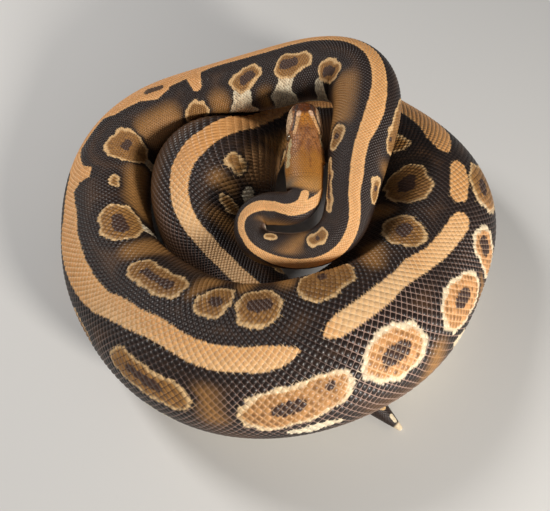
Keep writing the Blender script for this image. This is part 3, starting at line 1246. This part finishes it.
class HeadCells:
    """Scales of the head: cells around chosen sites, domed, on the surface."""

    def __init__(self, surface, lattice, eyes):
        self.surface = surface
        self.lattice = lattice
        self.eyes = eyes
        head = surface.s < HEAD_LOOK * CM
        self.points = surface.points[head].reshape(-1, 3)
        self.normals = surface.normals[head].reshape(-1, 3)
        back = np.broadcast_to(surface.s[head, None, None] / CM, (head.sum(), AROUND, 1))
        # Distance back, sideways and upward of each point, in cm.
        self.places = np.concatenate((back, surface.coords[head]), 2).reshape(-1, 3)
        self.tree = point_tree(self.points)
        self.sites = []

    def ring_at(self, back):
        return int(np.argmin(np.abs(self.surface.s - back * CM)))

    def place_at(self, back, sign, high=None, out=None):
        """Ring and ring place at a height, or so far out on the upper side."""
        i = self.ring_at(back)
        ks = np.arange(0, HALF + 1) * sign % AROUND
        side, height = self.surface.coords[i, ks].T
        if high is not None:
            order = np.argsort(height)
            return i, np.interp(high, height[order], np.arange(HALF + 1)[order]) * sign
        top = side[: AROUND // 4 + 1] * sign
        return i, np.interp(out, top, np.arange(AROUND // 4 + 1)) * sign

    def sample(self, grid, i, k):
        return self.surface.sample(grid, np.array([float(i)]), np.array([float(k)]))[0]

    def add(self, i, k, size, kind="plain", build=True, room=LIP_ROOM):
        """Add a site unless another is too near; size in cm."""
        place = self.sample(self.surface.points, i, k)
        for other in self.sites:
            least = room * 0.5 * (size + other["size"]) * CM
            if np.linalg.norm(place - other["place"]) < least:
                return
        self.sites.append({"place": place, "size": size, "kind": kind, "build": build})

    def choose_sites(self):
        """Shields first, each kind in turn, then small scales in the rest."""
        self.add(0, 0, 0.30, "rostral")
        for sign in (1, -1):
            for first, pitch, count, over, size, pits in LIP_ROWS:
                for n in range(count):
                    back = first + pitch * n
                    i, k = self.place_at(back, sign, high=read_table(MOUTH, back) + over)
                    self.add(i, k, size, "pit" if n in pits else "lip")
        self.add(self.ring_at(0.10), HALF, 0.22, "lip")
        for back, out, size, kind in SNOUT_SHIELDS:
            for sign in (1, -1):
                self.add(*self.place_at(back, sign, out=out), size, kind, room=SNOUT_ROOM)
        for sign in (1, -1):
            for n in range(ORBIT_SCALES):
                angle = 2 * math.pi * (n + 0.5) / ORBIT_SCALES
                back = EYE_BACK + ORBIT * math.cos(angle)
                high = EYE_UP + ORBIT * math.sin(angle)
                i, k = self.place_at(back, sign, high=min(high, ORBIT_TOP))
                self.add(i, k, ORBIT_SIZE, "orbit", room=ORBIT_ROOM)
        # The lattice's first scales: built here before it starts, and there after.
        row, k, s, _ = self.lattice.locate(*self.lattice.centres())
        for n in np.flatnonzero((s > SEAM_FROM) & (s < SEAM_TO)):
            self.add(row[n], k[n], SEAM_SIZE, build=s[n] < LATTICE_FROM, room=SEAM_ROOM)
        self.add_small_scales()

    def add_small_scales(self):
        """Lines of small scales, staggered, straying a little on the crown."""
        jitter = np.random.default_rng(SEED + 3)
        back, line = SMALL_FROM, 0
        while back < CELL_SIZES[-1][0]:
            size = read_table(CELL_SIZES, back)
            i = self.ring_at(back)
            for sign, arcs in ((1, self.surface.right_arc[i]), (-1, self.surface.left_arc[i])):
                for n in range(int(arcs[-1] / CM / size) + 1):
                    arc = (n + 0.5 * (line % 2)) * size
                    if arc * CM > arcs[-1] or (sign == -1 and arc == 0):
                        continue
                    stray = SMALL_STRAY * size * smooth(4.0, 3.2, back) * (jitter.random(2) - 0.5) * 2
                    arc = max(arc + stray[0], 0)
                    k = np.interp(arc * CM, arcs, np.arange(HALF + 1)) * sign
                    self.add_small_scale(self.ring_at(back + stray[1]), k, size)
            back += SMALL_PITCH * size
            line += 1

    def add_small_scale(self, i, k, size):
        """Add one unless it would be in the eye's ring or among the lips."""
        side, high = self.sample(self.surface.coords, i, k)
        back = self.surface.s[i] / CM
        from_eye = np.hypot(back - EYE_BACK, high - EYE_UP)
        if from_eye < ORBIT + SMALL_CLEAR * size and abs(side) > 0.5:
            return
        if back < LIP_BACK and abs(high - read_table(MOUTH, back)) < LIP_CLEAR:
            return
        self.add(i, k, size, room=SMALL_ROOM)

    def outline(self, site, near, along, across):
        """The cell's corners around its site, on flat axes, in metres."""
        angles = np.arange(CELL_CORNERS) * 2 * math.pi / CELL_CORNERS
        rays = np.stack((np.cos(angles), np.sin(angles)), 1)
        reach = np.full(CELL_CORNERS, CELL_REACH * site["size"] * CM)
        gap = CELL_GAP * site["size"] * CM
        for other in near:
            away = other["place"] - site["place"]
            flat = np.array((away @ along, away @ across))
            share = site["size"] / (site["size"] + other["size"])
            limit = np.linalg.norm(flat) * (0.4 * share + 0.3) - gap
            reach = limit_reach(reach, rays, flat, limit)
        if site["kind"] == "orbit":
            for centre in self.eyes:
                away = centre - site["place"]
                flat = np.array((away @ along, away @ across))
                if np.linalg.norm(flat) <= NEAR_EYE * CM:
                    reach = limit_reach(reach, rays, flat, np.linalg.norm(flat) - EYE_EDGE * CM)
        soft = (np.roll(reach, 1) + 2 * reach + np.roll(reach, -1)) / 4
        return rays * np.minimum(reach, soft)[:, None]

    def settle(self, spot, up):
        """A flat cell's point brought onto the surface, and its place there."""
        hits = self.tree.find_n(spot, 4)
        weights = np.array([1 / (hit[2] + 1e-5) for hit in hits])
        ids = [hit[1] for hit in hits]
        base, out, place = (
            np.average(grid[ids], axis=0, weights=weights)
            for grid in (self.points, self.normals, self.places)
        )
        out = unit(out)
        return spot - out * ((spot - base) @ out) + out * up, place

    def build(self, material):
        """The head's scales as one piece."""
        self.choose_sites()
        rng = np.random.default_rng(SEED + 2)
        centres = np.array([site["place"] for site in self.sites])
        points, tones, roots, offsets = [], [], [], []
        first_ring = slice(1, 1 + CELL_CORNERS)
        for n, site in enumerate(self.sites):
            if not site["build"]:
                continue
            size, kind = site["size"], site["kind"]
            _, index, _ = self.tree.find(site["place"])
            normal = self.normals[index]
            side = self.surface.body.at(max(self.places[index, 0], 0) * CM)[3]
            along = unit(np.cross(side, normal))
            across = np.cross(normal, along)
            close = np.linalg.norm(centres - site["place"], axis=1) < NEAR_SITE * CM
            near = [self.sites[m] for m in np.flatnonzero(close) if m != n]
            corners = self.outline(site, near, along, across)
            local = np.concatenate([np.zeros((1, 2))] + [corners * row[0] for row in CELL_RINGS])
            rise, rim = (
                np.concatenate(([at_middle],) + tuple([row[c]] * CELL_CORNERS for row in CELL_RINGS))
                for c, at_middle in ((1, 1.0), (2, 0.0))
            )
            if kind in PITS:
                rise[0] = PITS[kind]
                rise[first_ring] = 0.5
                local[first_ring] *= 0.75
            flat = site["place"] + local[:, :1] * along + local[:, 1:] * across
            height = CELL_HEIGHT * CM * (size / USUAL_SIZE) ** 0.5
            settled = [self.settle(spot, (up - 1) * height) for spot, up in zip(flat, rise)]
            places = np.array([place for _, place in settled])
            middle = places[0]
            read = middle + HEAD_PAINT_REACH * (places - middle)
            heart, edge, _ = blended_paint(self.surface, *read.T)
            tone = mix(heart, edge, rim) * (1 + 0.12 * (rng.random() - 0.5))
            if kind in PITS:
                tone[0] = LOREAL * 0.5
            if kind == "nostril":
                tone[first_ring] *= 0.5
            points.append([point for point, _ in settled])
            tones.append(tone)
            around = 0.5 + 0.5 * math.atan2(middle[1], middle[2]) / math.pi
            roots.append(((middle[0] / HEAD_MAP, around),))
            offsets.append(local / (0.5 * size * CM))
        pattern = fan_faces(CELL_CORNERS, len(CELL_RINGS))
        faces = copies(pattern, len(points), 1 + CELL_CORNERS * len(CELL_RINGS))
        obj = linked("head_scales", np.array(points).reshape(-1, 3), [faces], material)
        paint_points(obj, np.array(tones))
        bake_patches(obj, np.array(roots), np.array(offsets))
        own(obj, "head_skin")


# ------------------------------------------------------------ skin and eyes

# Heights of the two strips of the skin's unwrap, and how full the map is.
STRIP, STRIP_FILL, MAP_EDGE = 0.5, 0.48, 0.01


def build_skin(surface, material):
    """One skin over head, neck, trunk and tail, the coat's depth inside."""
    s = surface.s / CM
    depth = read_table(COAT, s) * CM
    points = surface.points - surface.normals * depth[:, None, None]
    count = len(s)
    ends = np.stack((points[0].mean(0), points[-1].mean(0)))
    i = np.arange(count - 1)[:, None]
    k = np.arange(AROUND)[None, :]
    a = i * AROUND + k
    b = i * AROUND + (k + 1) % AROUND
    quads = np.stack((a, b, b + AROUND, a + AROUND), -1).reshape(-1, 4)
    this, after = np.arange(AROUND), (np.arange(AROUND) + 1) % AROUND
    last = (count - 1) * AROUND
    front = np.stack((np.full(AROUND, count * AROUND), after, this), 1)
    rear = np.stack((np.full(AROUND, count * AROUND + 1), last + this, last + after), 1)
    points = np.concatenate((points.reshape(-1, 3), ends))
    obj = linked("skin", points, [quads, front, rear], material)
    # Colours, from the same markings as the scales.
    x = np.concatenate((surface.right_arc[:, :-1], -surface.left_arc[:, :0:-1]), 1) / CM
    whole = np.where(this < HALF, surface.half_right[:, None], surface.half_left[:, None]) / CM
    back = np.broadcast_to(s[:, None], x.shape)
    net = body_paint(back, x, x / whole)[2]
    head = s < HEAD_MAP
    side, high = surface.coords[head, :, 0], surface.coords[head, :, 1]
    head_net = head_paint(back[head], side, high)[2]
    net[head] = mix(head_net, net[head], smooth(4.9, 5.7, back[head]))
    paint_points(obj, np.concatenate((net.reshape(-1, 3), net[:1].mean(1), net[-1:].mean(1))))
    # The unwrap: two long strips, one over the other, and slivers for the ends.
    strip = (i >= count // 2).astype(float)
    start = s[count // 2]
    scale = (1 - 2 * MAP_EDGE) / max(start, s[-1] - start)
    u0, u1 = (
        np.broadcast_to((at[:, None] - strip * start) * scale + MAP_EDGE, a.shape)
        for at in (s[:-1], s[1:])
    )
    v0, v1 = (strip * STRIP + (k + n) / AROUND * STRIP_FILL + MAP_EDGE for n in (0, 1))
    corners = np.stack((u0, v0, u0, v1, u1, v1, u1, v0), -1).ravel()
    end_corners = []
    for at in (0.004, 0.996):
        for n in range(AROUND):
            low, high = n / AROUND * 0.004, (n + 1) / AROUND * 0.004
            end_corners += [at, 0.5, at, high, at + 0.001, low]
    bake_map(obj, np.concatenate((corners, end_corners)))
    own(obj, "body_skin", "head", "neck", "tail", *("trunk_%d" % n for n in range(1, 9)))


def eye_frames(surface):
    """Name, centre and axes of each eye: outward, toward the tail, and up."""
    middle, _, _, side, up, _ = surface.body.at(EYE_BACK * CM)
    found = []
    for name, sign in (("eye_left", 1), ("eye_right", -1)):
        centre = middle + SHIFT + sign * EYE_OUT * CM * side + EYE_UP * CM * up
        out = unit(sign * side * 0.965 + up * 0.26)
        along = unit(np.cross(side, up))
        lift = unit(np.cross(out, along))
        lift *= 1 if lift @ up > 0 else -1
        found.append((name, centre, out, along, lift))
    return found


EYE_ROWS, EYE_AROUND = 28, 48
# How much the ball is flattened where it looks out.
EYE_FLAT = 0.05


def build_eyes(surface, material):
    """The two eyes, each a ball of its own."""
    tilt, turn = np.meshgrid(
        math.pi * np.arange(EYE_ROWS + 1) / EYE_ROWS,
        2 * math.pi * np.arange(EYE_AROUND) / EYE_AROUND,
        indexing="ij",
    )
    bulge = 1.0 - EYE_FLAT * bump_at(tilt, 0.0, 0.9)
    points = np.stack(
        (bulge * np.cos(tilt), np.sin(tilt) * np.cos(turn), np.sin(tilt) * np.sin(turn)), -1
    ).reshape(-1, 3)
    r = np.arange(EYE_ROWS)[:, None] * EYE_AROUND
    a, b = np.broadcast_arrays(r + np.arange(EYE_AROUND), r + np.roll(np.arange(EYE_AROUND), -1))
    faces = np.stack((a, a + EYE_AROUND, b + EYE_AROUND, b), -1).reshape(-1, 4)
    for name, centre, out, along, lift in eye_frames(surface):
        obj = linked(name + "_ball", EYE_RADIUS * CM * points, [faces], material)
        axes = Matrix((out, along, lift)).transposed()
        if axes.determinant() < 0:
            axes = Matrix((out, -along, lift)).transposed()
        obj.matrix_world = Matrix.Translation(Vector(centre)) @ axes.to_4x4()
        own(obj, "eye", name)


# --------------------------------------------------------------- materials

class Look:
    """A material, and short ways to add nodes to it."""

    def __init__(self, name, values):
        self.material = bpy.data.materials.new(name)
        self.material.use_nodes = True
        self.tree = self.material.node_tree
        self.shader = self.tree.nodes["Principled BSDF"]
        self.put(self.shader, values)

    def put(self, node, values):
        """Give a node its inputs: outputs are linked, plain values are set."""
        for name, value in values.items():
            if isinstance(value, bpy.types.NodeSocket):
                self.tree.links.new(value, node.inputs[name])
            else:
                node.inputs[name].default_value = value

    def add(self, kind, output, values, **settings):
        """Add a node with these inputs and settings; its output."""
        node = self.tree.nodes.new("ShaderNode" + kind)
        for name, value in settings.items():
            setattr(node, name, value)
        self.put(node, values)
        return node.outputs[output]

    def noise(self, scale, detail=3.0):
        """Fine noise fixed to the object, so many to the metre."""
        place = self.add("TexCoord", "Object", {})
        values = {"Vector": place, "Scale": scale, "Detail": detail, "Roughness": 0.55}
        return self.add("TexNoise", "Fac", values)

    def ramp(self, source, low, high, start=0.25, end=0.75):
        """From low to high as the source goes from start to end."""
        values = {"Value": source, "From Min": start, "From Max": end}
        return self.add("MapRange", "Result", {**values, "To Min": low, "To Max": high})

    def math(self, kind, a, b):
        return self.add("Math", "Value", {0: a, 1: b}, operation=kind)

    def paint(self, variation):
        """The painted tone, made lighter and darker by a fine mottle."""
        tone = self.add("Attribute", "Color", {}, attribute_name="tone")
        mottle = self.ramp(self.noise(900), 1 - variation, 1 + variation)
        scaled = self.add("VectorMath", "Vector", {0: tone, "Scale": mottle}, operation="SCALE")
        self.put(self.shader, {"Base Color": scaled})

    def grain(self, strength, distance, scale):
        values = {"Strength": strength, "Distance": distance, "Height": self.noise(scale)}
        self.put(self.shader, {"Normal": self.add("Bump", "Normal", values)})


def scale_material():
    look = Look("scale", {"Specular IOR Level": 0.36, "Coat Weight": 0.10, "Coat Roughness": 0.16})
    look.paint(variation=0.14)
    look.put(look.shader, {"Roughness": look.ramp(look.noise(260), 0.34, 0.50)})
    look.grain(strength=0.25, distance=0.00008, scale=2600)
    return look.material


def skin_material():
    look = Look("skin", {"Roughness": 0.58, "Specular IOR Level": 0.4})
    look.paint(variation=0.12)
    look.grain(strength=0.4, distance=0.0001, scale=1800)
    return look.material


# Half width and half height of the upright pupil, in metres, and the heights
# between which the iris turns from dark to pale.
PUPIL_WIDE, PUPIL_TALL = 0.00055, 0.00160
IRIS_FROM, IRIS_TO = -0.0006, 0.0020
IRIS_DARK, IRIS_PALE, PUPIL = lin(62, 40, 24), lin(150, 118, 78), lin(10, 8, 8)


def eye_material():
    """A dark iris, paler above, flecked, with an upright slit of a pupil."""
    look = Look("eye", {"Roughness": 0.10, "Coat Weight": 1.0, "Coat Roughness": 0.03})
    place = look.add("TexCoord", "Object", {})
    upward = look.add("SeparateXYZ", "Z", {"Vector": place})
    across = upward.node.outputs["Y"]
    wide = look.math("POWER", look.math("DIVIDE", across, PUPIL_WIDE), 2.0)
    tall = look.math("POWER", look.math("DIVIDE", upward, PUPIL_TALL), 2.0)
    pupil = look.math("LESS_THAN", look.math("ADD", wide, tall), 1.0)
    flecks = look.ramp(look.noise(3400, 5.0), 0.35, 1.0)
    pale = look.math("MULTIPLY", look.ramp(upward, 0.0, 1.0, IRIS_FROM, IRIS_TO), flecks)
    colours = {"Factor": pale, "A": (*IRIS_DARK, 1), "B": (*IRIS_PALE, 1)}
    iris = look.add("Mix", "Result", colours, data_type="RGBA")
    colours = {"Factor": pupil, "A": iris, "B": (*PUPIL, 1)}
    look.put(look.shader, {"Base Color": look.add("Mix", "Result", colours, data_type="RGBA")})
    return look.material


# ------------------------------------------------------------------- stage

FLOOR_HALF = 3.0
FLOOR_TONE = (0.70, 0.69, 0.67, 1)
WORLD_TONE, WORLD_STRENGTH = (0.80, 0.86, 0.95, 1), 0.12
CAMERA_AT, CAMERA_TO = (0.0, -0.2458, 0.4234), (0.0, -0.0233, 0.038)
LENS_MM, SENSOR_MM = 45.82, 36
LIGHTS_TO = (0, 0, 0.04)


def build_floor():
    look = Look("studio_floor", {"Base Color": FLOOR_TONE, "Roughness": 0.85})
    corners = np.array(((-1, -1, 0), (1, -1, 0), (1, 1, 0), (-1, 1, 0))) * FLOOR_HALF
    linked("floor", corners, [np.arange(4)[None]], look.material)


def stand(name, data, place, target):
    """Put a light or a camera at a place, looking at a target."""
    obj = bpy.data.objects.new(name, data)
    bpy.context.scene.collection.objects.link(obj)
    obj.location = place
    away = Vector(place) - Vector(target)
    obj.rotation_euler = away.to_track_quat("Z", "Y").to_euler()
    return obj


def add_light(name, place, size, power, colour):
    light = bpy.data.lights.new(name, "AREA")
    light.shape = "DISK"
    light.size = size
    light.energy = power
    light.color = colour
    stand(name, light, place, LIGHTS_TO)


def build_camera():
    data = bpy.data.cameras.new("camera")
    data.lens = LENS_MM
    data.sensor_width = SENSOR_MM
    data.clip_start = 0.01
    bpy.context.scene.camera = stand("camera", data, CAMERA_AT, CAMERA_TO)


def build_world():
    world = bpy.data.worlds.new("studio")
    world.use_nodes = True
    back = world.node_tree.nodes["Background"]
    back.inputs["Color"].default_value = WORLD_TONE
    back.inputs["Strength"].default_value = WORLD_STRENGTH
    bpy.context.scene.world = world


bpy.context.scene.view_settings.view_transform = "Standard"
build_camera()
build_world()
add_light("key", (0.62, -0.76, 0.46), size=0.20, power=10.7, colour=(1.0, 0.96, 0.90))
add_light("fill", (-0.60, 0.35, 0.80), size=0.30, power=6.0, colour=(1.0, 0.97, 0.94))
build_floor()

surface = Surface(Body())
lattice = Lattice(surface)
scales = scale_material()
build_skin(surface, skin_material())
build_body_scales(surface, lattice, scales)
build_belly(surface, lattice, scales)
HeadCells(surface, lattice, [row[1] for row in eye_frames(surface)]).build(scales)
build_eyes(surface, eye_material())
